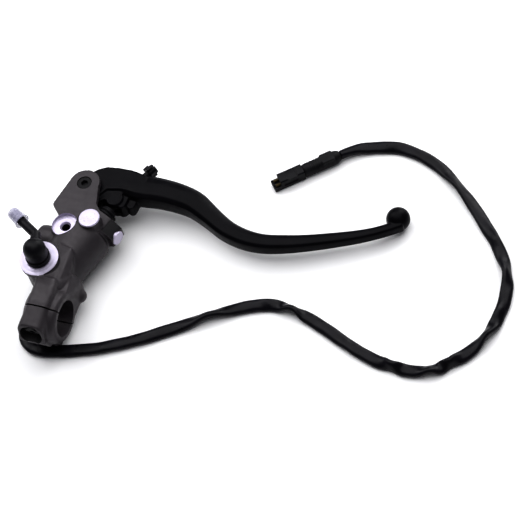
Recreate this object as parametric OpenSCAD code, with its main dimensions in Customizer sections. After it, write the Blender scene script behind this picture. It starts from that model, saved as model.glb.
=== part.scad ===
// Radial brake master cylinder with lever, reservoir elbow and brake-light lead.
// The origin is the centre of the handlebar bore. X runs along the bar towards the
// lever tip, Y points away from the rider, Z is up. Everything rests on table_z.

/* [Bar clamp] */
// Diameter of the handlebar that the clamp fits
bar_d = 22.2; // [22.0:0.1:22.6]
// Width of the clamp along the bar
clamp_w = 24; // [23:0.5:25]
// Outer radius of the clamp ring
clamp_r = 16.2; // [15.8:0.1:16.6]
// Lean of the clamp's split plane towards the rider
clamp_tilt = 15; // [14:0.5:16]
// Distance from the bar axis to each clamp screw
clamp_screw_h = 14; // [13.9:0.1:14.2]

/* [Cylinder] */
// Bore of the cylinder
bore_d = 19; // [18.8:0.1:19]
// Outside radius of the barrel
barrel_r = 14.5; // [14.2:0.1:14.8]
// Angle of the barrel from straight ahead, towards the lever tip
barrel_turn = 17.5; // [17:0.5:18]
// Distance from the piston axis to the lever pivot
lever_arm = 19.3; // [19.1:0.1:19.5]

/* [Lever] */
// Height of the lever root between the ears
root_h = 14; // [13.8:0.1:14.2]
// Radius of the ball at the lever tip
ball_r = 7.4; // [7:0.1:7.6]
// Travel of the lever in degrees
lever_travel = 15; // [14:0.5:15]

/* [Reservoir elbow] */
// Radius of the elbow's upright leg
elbow_r = 6.8; // [6.5:0.1:7]
// Outer radius of the spout
spout_r = 2.8; // [2.6:0.1:2.9]
// Compass angle of the spout from +X
spout_turn = 149.5; // [145:0.5:155]

/* [Lead] */
// Radius of the brake-light lead's sleeve
lead_r = 2.8; // [2.6:0.1:2.8]
// Radius of the connector's rear boot
plug_r = 4.3; // [4.1:0.1:4.5]

/* [Hidden] */
$fn = 48;
fit = 0.05;

// Colours
anodised = [0.29, 0.27, 0.28];
black_metal = [0.09, 0.09, 0.1];
machined = [0.86, 0.84, 0.9];
steel = [0.62, 0.62, 0.64];
black_plastic = [0.07, 0.07, 0.08];
black_rubber = [0.05, 0.05, 0.055];

// Clamp, measured from the bar axis square to the split plane
bar_r = bar_d / 2;
clamp_edge = 2.8;
boss_top = 19.2;
boss_low = 9;
boss_w = 13;
boss_x = 0.5;
cap_depth = 13;
nose_depth = 18.6;
nose_w = [-8.5, 7.8];
split_gap = 0.8;
clamp_thread_r = 2.5;
screw_head_r = 4.25;
screw_head_h = 5;
recess_y = 9.6;
recess_r = 4.6;
table_z = -(boss_top * cos(clamp_tilt) + cap_depth * sin(clamp_tilt));

// Barrel frame: its origin is on the piston axis, its Y runs out of the mouth
barrel_at = [3.6, 63.2, -3.5];
bore_r = bore_d / 2;
mouth = 10;
flange_l = 10.5;
bore_end = -37;
barrel_back = -38;
tail_end = -46;
pivot_v = 21;
pivot = [barrel_at[0] - lever_arm * cos(barrel_turn) + pivot_v * sin(barrel_turn),
         barrel_at[1] + lever_arm * sin(barrel_turn) + pivot_v * cos(barrel_turn)];

// Ears
ear_top = 8.5;
ear_t = 4.7;
ear_r = 9.6;
ear_low = 2 * barrel_at[2] - ear_top;
slot_floor = 10.8;
slot_r = 10.2;

// Ports and faces
spot_at = [-9.4, 57.8];
spot_z = 6;
port_at = [-11, 26.3];
port_z = 18;
port_bore_r = 5;
badge_at = [6.5, 62.3];
badge_r = 6.4;
badge_z = 13.2;
badge_t = 0.9;
outlet_y = 51.5;
outlet_x = -27;
outlet_r = 9;
outlet_bore_r = 4.5;
plug_v = 4.4;
plug_u = 17;

// Reservoir elbow and its cap
spout_z = 28;
spout_root = 10.1;
spout_root_turn = 107;
spout_corner = port_at + spout_root * [cos(spout_root_turn), sin(spout_root_turn)];
spout_len = 22;
cap_start = 13.5;
cap_end = 23.9;
thread_m6 = 2.5;

// Piston stack, along the barrel frame's Y at rest
piston_back = 4;
piston_front = -22;
groove_r = 6.5;
seal_1 = [-19, -15.5];
seal_2 = [-1, 2];
ball_joint_r = 3;
ball_joint_v = 0.6;
rod_r = 2.5;
arm_lead = 9;
pin_v = pivot_v + lever_arm * tan(arm_lead);
pin_r = 4;
rod_end = pin_v + pin_r + 2;

// Lever
pivot_hole_r = 4;
hub_r = 9;
lobe_r = 5.5;
rod_slot_h = 5.6;
lobe_top = 2.2;
root_mid = barrel_at[2];
knob_v = 27.4;
knob_l = 5.6;
detent_v = 18;
spindle_r = 2.2;
spindle_v = pin_r + 3;
plunger_r = 1;
plunger_at = [-12.9, 83.6];
plunger_travel = 1.25;

// Blade stations: x, y, z of the middle, depth front to back, height
STATIONS = [
    [12, 99, -3.6, 17, 14.4], [24, 98.6, -4, 20.5, 15.4], [36, 99.4, -4.8, 19.4, 15.4],
    [48, 99, -5.8, 18.4, 15], [59, 96.8, -6.7, 16.8, 14.4], [71, 90.8, -7.7, 14, 13],
    [83, 84.6, -8.6, 13, 12.2], [95, 81.5, -9.4, 12.4, 11.8], [107, 81.4, -10.2, 11.6, 11.2],
    [120, 84.4, -11, 11, 10.4], [133, 88.7, -11.8, 9.9, 9.6], [146, 93.8, -12.5, 8.9, 9],
    [159, 99.4, -13.2, 7.8, 8.4], [169, 104.5, -13.7, 7, 8], [177, 109.6, -14.1, 6.8, 8],
    [184, 114.6, -14.3, 6.8, 8]
];
BALL = [180.5, 118.3, table_z + ball_r];

// Lead, along the surface it lies on; the third number is its rise above that
LEAD = [
    [-15, 62, 0.5], [-15.4, 54, 0.1], [-16, 42, 0], [-17, 28, 0], [-18.6, 14, 0], [-19.5, 3, 0],
    [-17.8, -6, 0], [-12.6, -12.2, 0], [-5, -14.4, 0], [8, -12.2, 0], [26, -6.4, 0],
    [42, 1, 0], [58, 10, 0], [73.5, 20.5, 0], [89, 31.5, 0], [105, 40.5, 0], [116, 45, 0],
    [128, 47, 0], [141, 45, 0], [155, 40, 0], [170, 33.5, 0], [183.5, 28, 0], [197, 24, 0],
    [209, 22.5, 0], [221, 24, 0], [232, 29, 0], [242, 39, 0], [250, 52, 0], [254.5, 66, 0],
    [255.5, 80, 0], [253, 96, 0], [245, 111, 0], [233, 126, 0], [217, 143.5, 0],
    [199, 159, 0], [184, 167.5, 0], [168, 171.5, 0], [152, 169.5, 0.2], [140, 165, 0.8],
    [131, 158, 1.5]
];
lead_sides = 8;
plug_turn = 221;
plug_l = 25;
housing_l = 16;
housing_w = 7.6;
prong_l = 4.5;

// Switch under the lower ear
switch_x = [-18.9, -11.2];
switch_y = [69, 84.6];
switch_h = 6;
collar_l = 7;
collar_r = 3.1;

// ---- placement helpers

module clamp_frame() {
    rotate([clamp_tilt, 0, 0]) children();
}

module barrel_frame() {
    translate(barrel_at) rotate([0, 0, -barrel_turn]) children();
}

// A revolved piece on the barrel axis: v is the distance out of the mouth
module on_barrel(v) {
    barrel_frame() translate([0, v, 0]) rotate([-90, 0, 0]) children();
}

module tube(r_out, r_in, l) {
    difference() {
        cylinder(r = r_out, h = l);
        translate([0, 0, -1]) cylinder(r = r_in, h = l + 2);
    }
}

function spline(a, b, c, d, t) =
    0.5 * (2 * b + (c - a) * t + (2 * a - 5 * b + 4 * c - d) * t * t
           + (3 * b - a - 3 * c + d) * t * t * t);

function unit(v) = v / norm(v);

// ---- body

module half_ring(side) {
    clamp_frame() difference() {
        rotate([0, 90, 0]) rotate_extrude() polygon([
            [0, -clamp_w / 2], [clamp_r - clamp_edge, -clamp_w / 2],
            [clamp_r, clamp_edge - clamp_w / 2], [clamp_r, clamp_w / 2 - clamp_edge],
            [clamp_r - clamp_edge, clamp_w / 2], [0, clamp_w / 2]
        ]);
        translate([-clamp_w, side > 0 ? -2 * clamp_r : -split_gap / 2, -2 * clamp_r])
            cube([2 * clamp_w, 2 * clamp_r + split_gap / 2, 4 * clamp_r]);
    }
}

// Plain block around one clamp screw, from the split plane out to length
module screw_boss(end, length) {
    near = sign(length) * split_gap / 2;
    translate([boss_x - boss_w / 2, min(near, length), end > 0 ? boss_low : -boss_top])
        cube([boss_w, abs(length - near), boss_top - boss_low]);
}

// Upper nose of the cap: the screw sits in a pocket in its sloping end
module cap_nose() {
    translate([nose_w[0], 0, 0]) rotate([90, 0, 90]) linear_extrude(nose_w[1] - nose_w[0]) polygon([
        [-split_gap / 2, 11.5], [-split_gap / 2, boss_top], [-cap_depth, boss_top], [-nose_depth, 9.6],
        [-nose_depth + 0.6, -3.5], [-13, -6], [-12, 4]
    ]);
}

module bar_bore() {
    translate([-clamp_w, 0, 0]) rotate([0, 90, 0]) cylinder(r = bar_r, h = 2 * clamp_w);
}

module ear_outline() {
    translate(pivot) circle(r = ear_r);
    polygon([
        [pivot[0] - ear_r * 0.98, pivot[1] + ear_r * 0.2], [-22.2, 70.2], [-14.5, 62.5], [-6, 56],
        [4, 58], [7.9, 72.6], [4.6, 76.1], [3.1, 81.6], [pivot[0] + ear_r, pivot[1] - 0.2]
    ]);
}

module ears() {
    difference() {
        translate([0, 0, ear_low]) linear_extrude(ear_top - ear_low) ear_outline();
        translate([pivot[0], pivot[1], ear_low + ear_t])
            cylinder(r = slot_r, h = ear_top - ear_low - 2 * ear_t);
        barrel_frame() translate([-lever_arm, slot_floor, ear_low + ear_t - barrel_at[2]])
            cube([60, 40, ear_top - ear_low - 2 * ear_t]);
        translate([pivot[0] - 30, pivot[1], ear_low + ear_t])
            cube([60, 40, ear_top - ear_low - 2 * ear_t]);
    }
}

module flange() {
    barrel_frame() translate([0, mouth, 0]) rotate([90, 0, 0]) linear_extrude(flange_l)
        polygon([
            [-14, 11.7], [2, 11.7], [15.6, 4.6], [plug_u, 3], [plug_u, -3], [15.6, -4.6], [2, -11.7],
            [-14, -11.7]
        ]);
    on_barrel(mouth - flange_l) cylinder(r = barrel_r - 0.5, h = flange_l);
    barrel_frame() translate([plug_u - 5, plug_v, 0]) rotate([0, 90, 0]) cylinder(r = 4.8, h = 5);
}

module barrel() {
    on_barrel(barrel_back) cylinder(r = barrel_r, h = mouth - flange_l - barrel_back - 2);
    on_barrel(mouth - flange_l - 2.5) cylinder(r = barrel_r - 1, h = 3);
    on_barrel(tail_end) cylinder(r1 = 9, r2 = barrel_r, h = barrel_back - tail_end);
}

module neck() {
    hull() {
        translate([port_at[0], port_at[1], -10]) cylinder(r = 11, h = 22, $fn = 32);
        translate([-10, 11, -12]) cube([20, 3, 23]);
    }
    hull() {
        translate([4, 22, -10]) cylinder(r = 7, h = 18, $fn = 32);
        translate([9, 22, -8]) cylinder(r = 3.5, h = 12, $fn = 32);
        translate([0, 11, -12]) cube([11, 3, 22]);
    }
}

module body_solid() {
    half_ring(1);
    clamp_frame() {
        screw_boss(1, 9);
        screw_boss(-1, 9);
    }
    neck();
    barrel();
    flange();
    ears();
    translate([port_at[0], port_at[1], -6]) cylinder(r = 11.7, h = port_z + 6);
    translate([spot_at[0], spot_at[1], -12]) cylinder(r = 8.6, h = spot_z + 12);
    translate([badge_at[0], badge_at[1], 2]) cylinder(r = badge_r, h = badge_z - 2);
    translate([outlet_x, outlet_y, barrel_at[2]]) rotate([0, 90, 0]) cylinder(r = outlet_r, h = 26);
    translate([outlet_x + 5, outlet_y - 10, -11]) cube([20, 16, 12]);
}

module body_cuts() {
    bar_bore();
    on_barrel(bore_end) cylinder(r = bore_r, h = mouth - bore_end + 1);
    on_barrel(5.6) cylinder(r = 10.4, h = 1.3);
    translate([spot_at[0], spot_at[1], spot_z]) cylinder(r = 8, h = 20);
    translate([spot_at[0], spot_at[1], -6]) cylinder(r = thread_m6, h = 20);
    translate([port_at[0], port_at[1], 9]) cylinder(r = port_bore_r, h = 20);
    translate([port_at[0] + 2.5, port_at[1], 0]) cylinder(r = 1, h = 20);
    translate([outlet_x - 1, outlet_y, barrel_at[2]]) rotate([0, 90, 0])
        cylinder(r = outlet_bore_r, h = 14);
    translate([outlet_x, outlet_y, barrel_at[2]]) rotate([0, 90, 0]) cylinder(r = 1.5, h = 24);
    barrel_frame() translate([plug_u - 4, plug_v, 0]) rotate([0, 90, 0])
        cylinder(r = 4 + fit, h = 20);
    translate([pivot[0], pivot[1], ear_top - 3.4]) cylinder(r = screw_head_r + 0.3, h = 10);
    translate([pivot[0], pivot[1], ear_low - 1]) cylinder(r = clamp_thread_r + fit, h = 40);
    translate([plunger_at[0], plunger_at[1], ear_low - 1])
        cylinder(r = plunger_r + fit, h = ear_t + 2);
    clamp_frame() for (s = [-1, 1]) translate([boss_x, -1, s * clamp_screw_h])
        rotate([-90, 0, 0]) cylinder(r = clamp_thread_r + fit, h = 9);
    for (p = switch_screw_at()) translate([p[0], p[1], ear_low - 1])
        cylinder(r = 0.9 + fit, h = 5);
}

module master_cylinder_body() {
    color(anodised) difference() {
        body_solid();
        body_cuts();
    }
}

// ---- clamp

module bar_clamp_cap() {
    color(anodised) difference() {
        union() {
            half_ring(-1);
            clamp_frame() {
                cap_nose();
                screw_boss(-1, -cap_depth);
            }
        }
        bar_bore();
        clamp_frame() for (s = [-1, 1]) translate([boss_x, 0, s * clamp_screw_h]) {
            rotate([90, 0, 0]) cylinder(r = clamp_thread_r + 0.2, h = 30);
            translate([0, -recess_y, 0]) rotate([90, 0, 0]) cylinder(r = recess_r, h = 30);
        }
        clamp_frame() translate([boss_x, -cap_depth, boss_top - 6.8]) rotate([90, 0, 0])
            cylinder(r = 5.9, h = 30);
    }
}

module cap_screw(length) {
    difference() {
        union() {
            cylinder(r = clamp_thread_r, h = length);
            translate([0, 0, -screw_head_h]) cylinder(r = screw_head_r, h = screw_head_h);
        }
        translate([0, 0, -screw_head_h - 1]) cylinder(r = 2.3, h = 3.6, $fn = 6);
    }
}

module clamp_screws() {
    color(steel) clamp_frame() for (s = [-1, 1])
        translate([boss_x, -recess_y, s * clamp_screw_h])
            rotate([-90, 0, 0]) cap_screw(recess_y + 7);
}

// ---- small body fittings

module badge_disc() {
    color(machined) translate([badge_at[0], badge_at[1], badge_z]) {
        cylinder(r = badge_r, h = badge_t - 0.3);
        translate([0, 0, badge_t - 0.3]) cylinder(r1 = badge_r, r2 = badge_r - 0.3, h = 0.3);
    }
}

module passage_plug() {
    color(machined) barrel_frame() translate([plug_u - 4, plug_v, 0]) rotate([0, 90, 0]) {
        cylinder(r = 4, h = 4);
        translate([0, 0, 4]) cylinder(r1 = 4.5, r2 = 4.2, h = 0.6);
    }
}

// ---- reservoir elbow

module spout_frame() {
    translate([spout_corner[0], spout_corner[1], spout_z]) rotate([0, 0, spout_turn])
        rotate([0, 90, 0]) children();
}

module root_frame() {
    translate([port_at[0], port_at[1], spout_z]) rotate([0, 0, spout_root_turn])
        rotate([0, 90, 0]) children();
}

// Turned stem of the elbow: spigot, O-ring groove, flange, ring groove and domed barrel
module elbow_stem() {
    spigot = port_bore_r - fit;
    low = port_z + 0.1;
    lower = [[0, 10], [spigot, 10], [spigot, 13], [3.6, 13], [3.6, 15], [spigot, 15], [spigot, low],
             [7.3, low]];
    upper = [[7.3, low + 2.2], [6.1, low + 2.2], [6.1, low + 3.4], [elbow_r, low + 3.4]];
    dome = [[elbow_r, 30.6], [5, 33.6], [2.5, spout_z + elbow_r], [0, spout_z + elbow_r]];
    translate([port_at[0], port_at[1], 0]) rotate_extrude()
        polygon(concat(lower, upper, dome));
}

module reservoir_elbow() {
    color(black_plastic) difference() {
        union() {
            elbow_stem();
            root_frame() cylinder(r = 3.1, h = spout_root);
            translate([spout_corner[0], spout_corner[1], spout_z]) sphere(r = 3.3);
            spout_frame() cylinder(r = spout_r, h = spout_len);
        }
        translate([port_at[0], port_at[1], 9]) cylinder(r = 2.6, h = spout_z - 7.5);
        root_frame() cylinder(r = 1.7, h = spout_root + 0.6);
        spout_frame() cylinder(r = 1.6, h = spout_len + 1);
    }
}

module elbow_o_ring() {
    color(black_rubber) translate([port_at[0], port_at[1], 13.1])
        tube(port_bore_r - 0.05, 3.65, 1.8);
}

module elbow_retaining_ring() {
    color(steel) translate([port_at[0], port_at[1], port_z + 2.35]) difference() {
        tube(7.3, 6.15, 1.1);
        translate([-10, -2, -1]) cube([10, 4, 4]);
    }
}

module spout_cap() {
    color([0.85, 0.86, 0.92, 0.6]) spout_frame() difference() {
        union() {
            translate([0, 0, cap_start]) cylinder(r = 4.8, h = 1.2);
            translate([0, 0, cap_start + 1.2]) cylinder(r1 = 4.2, r2 = 3.7, h = cap_end - cap_start - 1.2);
        }
        translate([0, 0, cap_start - 1]) cylinder(r = spout_r + 0.45, h = cap_end - cap_start);
    }
}

// ---- piston stack

module piston() {
    land = bore_r - fit;
    color(machined) on_barrel(0) difference() {
        rotate_extrude() polygon([
            [0, piston_front], [land, piston_front], [land, seal_1[0]], [groove_r, seal_1[0]],
            [groove_r, seal_1[1]], [land, seal_1[1]], [land, seal_1[1] + 3], [7, seal_1[1] + 4],
            [7, seal_2[0] - 3], [land, seal_2[0] - 2], [land, seal_2[0]], [groove_r, seal_2[0]],
            [groove_r, seal_2[1]], [land, seal_2[1]], [land, piston_back], [0, piston_back]
        ]);
        translate([0, 0, ball_joint_v]) sphere(r = ball_joint_r + 0.5);
        translate([0, 0, ball_joint_v]) cylinder(r1 = ball_joint_r + 0.5, r2 = 5, h = 8);
    }
}

module primary_seal() {
    color(black_rubber) on_barrel(seal_1[0] + 0.1)
        tube(bore_r - 0.02, groove_r + 0.02, seal_1[1] - seal_1[0] - 0.2);
}

module secondary_seal() {
    color(black_rubber) on_barrel(seal_2[0] + 0.1)
        tube(bore_r - 0.02, groove_r + 0.02, seal_2[1] - seal_2[0] - 0.2);
}

// A row of separate flat rings stands in for the coil, joined by two side strips
module piston_spring() {
    turns = 5;
    l = piston_front - bore_end - 0.2;
    color(steel) on_barrel(bore_end + 0.1) {
        for (i = [0 : turns]) translate([0, 0, i * (l - 1.2) / turns]) tube(7, 5.8, 1.2);
        for (a = [0, 180]) rotate([0, 0, a]) translate([5.9, -0.6, 0]) cube([1, 1.2, l]);
    }
}

module stop_washer() {
    color(steel) on_barrel(piston_back + 0.1) tube(bore_r - fit, 4.6, 1.4);
}

module circlip() {
    color(steel) on_barrel(5.65) difference() {
        tube(10.3, 7.6, 1.2);
        translate([-2, -12, -1]) cube([4, 8, 4]);
    }
}

module dust_boot() {
    color(black_rubber) on_barrel(0) rotate_extrude() polygon([
        [rod_r + 0.02, 7], [bore_r - 0.1, 7], [bore_r - 0.1, 10], [7.1, 10.2], [6, 11.4], [7, 12.5],
        [5.9, 13.6], [6.8, 14.7], [5.2, 16], [4.6, 18], [rod_r + 0.02, 18]
    ]);
}

// ---- pushrod, nut and adjuster

module pushrod() {
    color(steel) on_barrel(0) {
        translate([0, 0, ball_joint_v]) sphere(r = ball_joint_r);
        translate([0, 0, ball_joint_v]) cylinder(r = rod_r, h = rod_end - ball_joint_v);
    }
}

module barrel_nut() {
    color(steel) difference() {
        barrel_frame() translate([0, pin_v, -root_h / 2 + 0.2])
            cylinder(r = pin_r, h = lobe_top - root_mid + root_h / 2 - 0.4);
        on_barrel(pin_v - 10) cylinder(r = rod_r + 0.02, h = 20);
    }
}

// The adjuster's axis runs from the barrel nut, square to the arm between nut and pivot
module on_adjuster(v) {
    barrel_frame() translate([0, pin_v, 0]) rotate([0, 0, -arm_lead]) rotate([-90, 0, 0])
        translate([0, 0, v]) children();
}

module adjuster_spindle() {
    color(steel) on_adjuster(spindle_v) {
        cylinder(r = spindle_r, h = knob_v + 2 - spindle_v);
        translate([0, 0, 2.5]) cylinder(r = 3.2, h = 2.5);
    }
}

module adjuster_knob() {
    color(black_plastic) on_adjuster(knob_v) difference() {
        union() {
            cylinder(r = 3.2, h = knob_l);
            for (a = [0 : 90 : 270]) rotate([0, 0, a]) translate([-1.1, 0, 0]) cube([2.2, 4.6, 4]);
        }
        translate([0, 0, -1]) cylinder(r = spindle_r + 0.02, h = 3.05);
        translate([-0.6, -10, knob_l - 1]) cube([1.2, 20, 2]);
    }
}

module detent_ball() {
    color(steel) on_adjuster(detent_v) translate([spindle_r + 0.95, 0, 0]) sphere(r = 0.9);
}

module detent_spring() {
    color(steel) on_adjuster(detent_v) translate([spindle_r + 1.9, 0, 0]) rotate([0, 90, 0])
        tube(0.85, 0.4, 2.6);
}

// ---- lever

// One D-shaped section: round towards the front, flat towards the rider
function section(s, ahead) =
    let (side = [-ahead[1], ahead[0], 0], half = s[3] / 2, h = s[4] / 2)
    [for (p = [[-0.94, -0.3], [-0.86, -0.62], [-0.5, -0.98], [0.2, -0.98], [0.72, -0.78], [0.97, -0.36],
               [0.97, 0.36], [0.72, 0.78], [0.2, 0.98], [-0.5, 0.98], [-0.86, 0.62], [-0.94, 0.3]])
        [s[0], s[1], s[2]] + side * half * p[0] + [0, 0, h * p[1]]];

module loft(rings) {
    n = len(rings[0]);
    m = len(rings);
    polyhedron(
        points = [for (r = rings) each r],
        faces = concat(
            [[for (i = [0 : n - 1]) i]],
            [for (k = [0 : m - 2], i = [0 : n - 1])
                [k * n + i, (k + 1) * n + i, (k + 1) * n + (i + 1) % n, k * n + (i + 1) % n]],
            [[for (i = [n - 1 : -1 : 0]) (m - 1) * n + i]]
        )
    );
}

module blade() {
    last = len(STATIONS) - 1;
    loft([for (i = [0 : last])
        let (a = STATIONS[max(i - 1, 0)], b = STATIONS[min(i + 1, last)],
             d = unit([b[0] - a[0], b[1] - a[1], 0]))
        section(STATIONS[i], d)]);
    translate(BALL) sphere(r = ball_r);
}

module lever_root() {
    low = root_mid - root_h / 2;
    pin = [barrel_at[0] + pin_v * sin(barrel_turn), barrel_at[1] + pin_v * cos(barrel_turn)];
    translate([0, 0, low]) linear_extrude(root_h) {
        translate(pivot) circle(r = hub_r);
        polygon([
            [pivot[0] - 4, pivot[1] + 8], [-6, 104], [-1, 106.5], [6, 107.2], [14, 107],
            [18, 106.6], [20, 90], [14, 90], [pivot[0] + 2, pivot[1] - 8.7]
        ]);
    }
    translate([0, 0, low]) linear_extrude(lobe_top - low) {
        translate(pin) circle(r = lobe_r);
        polygon([pivot + [1, -8.9], pin + [-9.4, -5], pin + [-6, -2.6], pin + [-4, 2], pivot]);
    }
}

module lever_blade() {
    h = root_h + 2;
    color(black_metal) difference() {
        union() {
            lever_root();
            blade();
        }
        translate([pivot[0], pivot[1], root_mid - h]) cylinder(r = pivot_hole_r + fit, h = 2 * h);
        barrel_frame() translate([0, pin_v, -h]) cylinder(r = pin_r + fit, h = 2 * h);
        barrel_frame() translate([-7, 5, -rod_slot_h / 2]) cube([14, rod_end - 3.5, rod_slot_h]);
        on_adjuster(pin_r) cylinder(r = 3.5, h = spindle_v + 5.3 - pin_r);
        on_adjuster(pin_r) cylinder(r = spindle_r + fit, h = 30);
        on_adjuster(detent_v) rotate([0, 90, 0]) cylinder(r = 1, h = spindle_r + 4.8);
        plunger_pocket();
    }
}

// The plunger rises into this pocket as the hub turns over it
module plunger_pocket() {
    reach = norm(plunger_at - pivot);
    start = atan2(plunger_at[1] - pivot[1], plunger_at[0] - pivot[0]);
    for (a = [-2 : 4 : lever_travel + 4]) translate([pivot[0], pivot[1], root_mid - root_h / 2 - 1])
        rotate([0, 0, start + a]) translate([reach, 0, 0])
            cylinder(r = plunger_r + 0.4, h = plunger_travel + 1.5);
}

module pivot_bush() {
    color(machined) translate([pivot[0], pivot[1], root_mid - root_h / 2 - 0.1])
        tube(pivot_hole_r, clamp_thread_r + fit, root_h + 0.2);
}

module pivot_screw() {
    head_z = ear_top - 3.4;
    color(black_metal) translate([pivot[0], pivot[1], 0]) difference() {
        union() {
            translate([0, 0, head_z + 0.02]) cylinder(r = screw_head_r, h = 3);
            translate([0, 0, table_z]) cylinder(r = clamp_thread_r, h = head_z - table_z + 1);
        }
        translate([0, 0, head_z + 1]) cylinder(r = 2.3, h = 5, $fn = 6);
    }
}

module pivot_nut() {
    color(steel) translate([pivot[0], pivot[1], ear_low - 5]) difference() {
        cylinder(r = 4.6, h = 4.98, $fn = 6);
        translate([0, 0, -1]) cylinder(r = clamp_thread_r + fit, h = 8);
    }
}

// ---- brake-light switch

function switch_screw_at() = [[switch_x[0] + 2, switch_y[0] + 4], [switch_x[1] - 1.8, switch_y[0] + 9]];

module brake_light_switch() {
    size = [switch_x[1] - switch_x[0], switch_y[1] - switch_y[0], switch_h];
    color(black_plastic) difference() {
        translate([switch_x[0], switch_y[0], ear_low - switch_h - 0.02]) cube(size);
        translate([plunger_at[0], plunger_at[1], ear_low - 4]) cylinder(r = plunger_r + fit, h = 5);
        for (p = switch_screw_at()) translate([p[0], p[1], ear_low - switch_h - 1]) {
            cylinder(r = 0.9 + fit, h = 10);
            cylinder(r = 1.7, h = 2.4);
        }
    }
}

module switch_plunger() {
    color(steel) translate([plunger_at[0], plunger_at[1], ear_low - 3.9])
        cylinder(r = plunger_r, h = ear_t + 3.9 + 0.2);
}

module switch_screws() {
    color(steel) for (p = switch_screw_at()) translate([p[0], p[1], ear_low - switch_h + 0.2]) {
        cylinder(r = 1.6, h = 1.2);
        cylinder(r = 0.9, h = switch_h + 3);
    }
}

module cable_collar() {
    color(black_rubber) translate([LEAD[0][0], switch_y[0] - 0.02, table_z + lead_r + LEAD[0][2]])
        rotate([90, 0, 0]) cylinder(r1 = collar_r, r2 = lead_r, h = collar_l - 0.03);
}

// ---- lead and connector

function lead_at(i) =
    let (p = LEAD[min(max(i, 0), len(LEAD) - 1)]) [p[0], p[1], table_z + lead_r + p[2]];

function lead_path() = [
    for (i = [0 : len(LEAD) - 2], t = [0, 0.5])
        spline(lead_at(i - 1), lead_at(i), lead_at(i + 1), lead_at(i + 2), t),
    lead_at(len(LEAD) - 1)
];

function lead_ring(p, d) =
    let (side = unit([-d[1], d[0], 0]), up = cross(d, side))
    [for (k = [0 : lead_sides - 1])
        let (a = 360 * (k + 0.5) / lead_sides)
        p + lead_r * (cos(a) * side + sin(a) * up)];

module switch_cable() {
    path = lead_path();
    last = len(path) - 1;
    first_dir = [0, -1, 0];
    last_dir = [cos(plug_turn), sin(plug_turn), 0];
    color(black_rubber) loft([for (i = [0 : last])
        lead_ring(path[i], i == 0 ? first_dir : i == last ? last_dir
                  : unit(path[i + 1] - path[i - 1]))]);
}

module plug_frame() {
    end = lead_at(len(LEAD) - 1);
    translate([end[0], end[1], table_z + plug_r]) rotate([0, 0, plug_turn]) rotate([0, 90, 0])
        children();
}

module connector_boot() {
    color(black_plastic) plug_frame() rotate_extrude() polygon([
        [0, 0.02], [3, 0.02], [plug_r - 0.3, 1.6], [plug_r, 3], [plug_r, plug_l - 1],
        [plug_r - 0.5, plug_l], [0, plug_l]
    ]);
}

module connector_housing() {
    half = housing_w / 2;
    color(black_plastic) plug_frame() difference() {
        translate([-half, -half, plug_l + 0.02]) cube([housing_w, housing_w, housing_l + prong_l]);
        translate([-half - 1, -half - 1, plug_l + housing_l]) cube([half + 1.6, 20, 20]);
        for (s = [-1, 1]) translate([0, s * 1.8, plug_l + 3]) cylinder(r = 1.2, h = 30);
    }
}

module connector_terminals() {
    color(steel) plug_frame() for (s = [-1, 1]) translate([0, s * 1.8, plug_l + 3.1])
        cylinder(r = 1, h = housing_l);
}

master_cylinder_body();
bar_clamp_cap();
clamp_screws();
badge_disc();
passage_plug();
reservoir_elbow();
elbow_o_ring();
elbow_retaining_ring();
spout_cap();
piston();
primary_seal();
secondary_seal();
piston_spring();
stop_washer();
circlip();
dust_boot();
pushrod();
barrel_nut();
adjuster_spindle();
adjuster_knob();
detent_ball();
detent_spring();
lever_blade();
pivot_bush();
pivot_screw();
pivot_nut();
brake_light_switch();
switch_plunger();
switch_screws();
cable_collar();
switch_cable();
connector_boot();
connector_housing();
connector_terminals();
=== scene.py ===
import math
import bpy
import bmesh
import numpy as np
from mathutils import Vector, Matrix


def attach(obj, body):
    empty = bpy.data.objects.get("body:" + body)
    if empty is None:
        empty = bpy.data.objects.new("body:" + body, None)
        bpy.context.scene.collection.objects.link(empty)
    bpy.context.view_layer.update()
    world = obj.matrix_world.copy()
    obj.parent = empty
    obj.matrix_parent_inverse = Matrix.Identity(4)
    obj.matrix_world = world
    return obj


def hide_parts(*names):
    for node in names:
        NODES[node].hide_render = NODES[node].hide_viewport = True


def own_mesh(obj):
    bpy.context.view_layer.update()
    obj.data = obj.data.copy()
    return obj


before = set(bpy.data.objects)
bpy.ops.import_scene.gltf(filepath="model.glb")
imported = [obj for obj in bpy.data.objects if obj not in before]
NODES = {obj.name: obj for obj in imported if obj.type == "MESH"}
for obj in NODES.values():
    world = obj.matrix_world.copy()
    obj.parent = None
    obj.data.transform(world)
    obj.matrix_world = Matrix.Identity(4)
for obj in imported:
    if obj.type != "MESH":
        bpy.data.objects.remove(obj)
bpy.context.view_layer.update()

# Lengths below are in millimetres; MM brings them to Blender's metres.
MM = 0.001
SCENE = bpy.context.scene

BAR_R = 11.1
TILT = math.radians(15)
TURN = math.radians(17.5)
BARREL_AT = Vector((3.6, 63.2, -3.5))
TABLE = -(19.2 * math.cos(TILT) + 13 * math.sin(TILT))
ARM = 19.3
PIVOT = Vector((BARREL_AT.x - ARM * math.cos(TURN) + 21 * math.sin(TURN),
                BARREL_AT.y + ARM * math.sin(TURN) + 21 * math.cos(TURN), 0))
ARM_LEAD = math.radians(9)
PIN_V = 21 + ARM * math.tan(ARM_LEAD)
PLUNGER = Vector((-12.9, 83.6, 0))
PORT = Vector((-11, 26.3, 0))
SPOT = Vector((-9.4, 57.8, 6))
BADGE = Vector((6.5, 62.3, 13.2))

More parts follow.
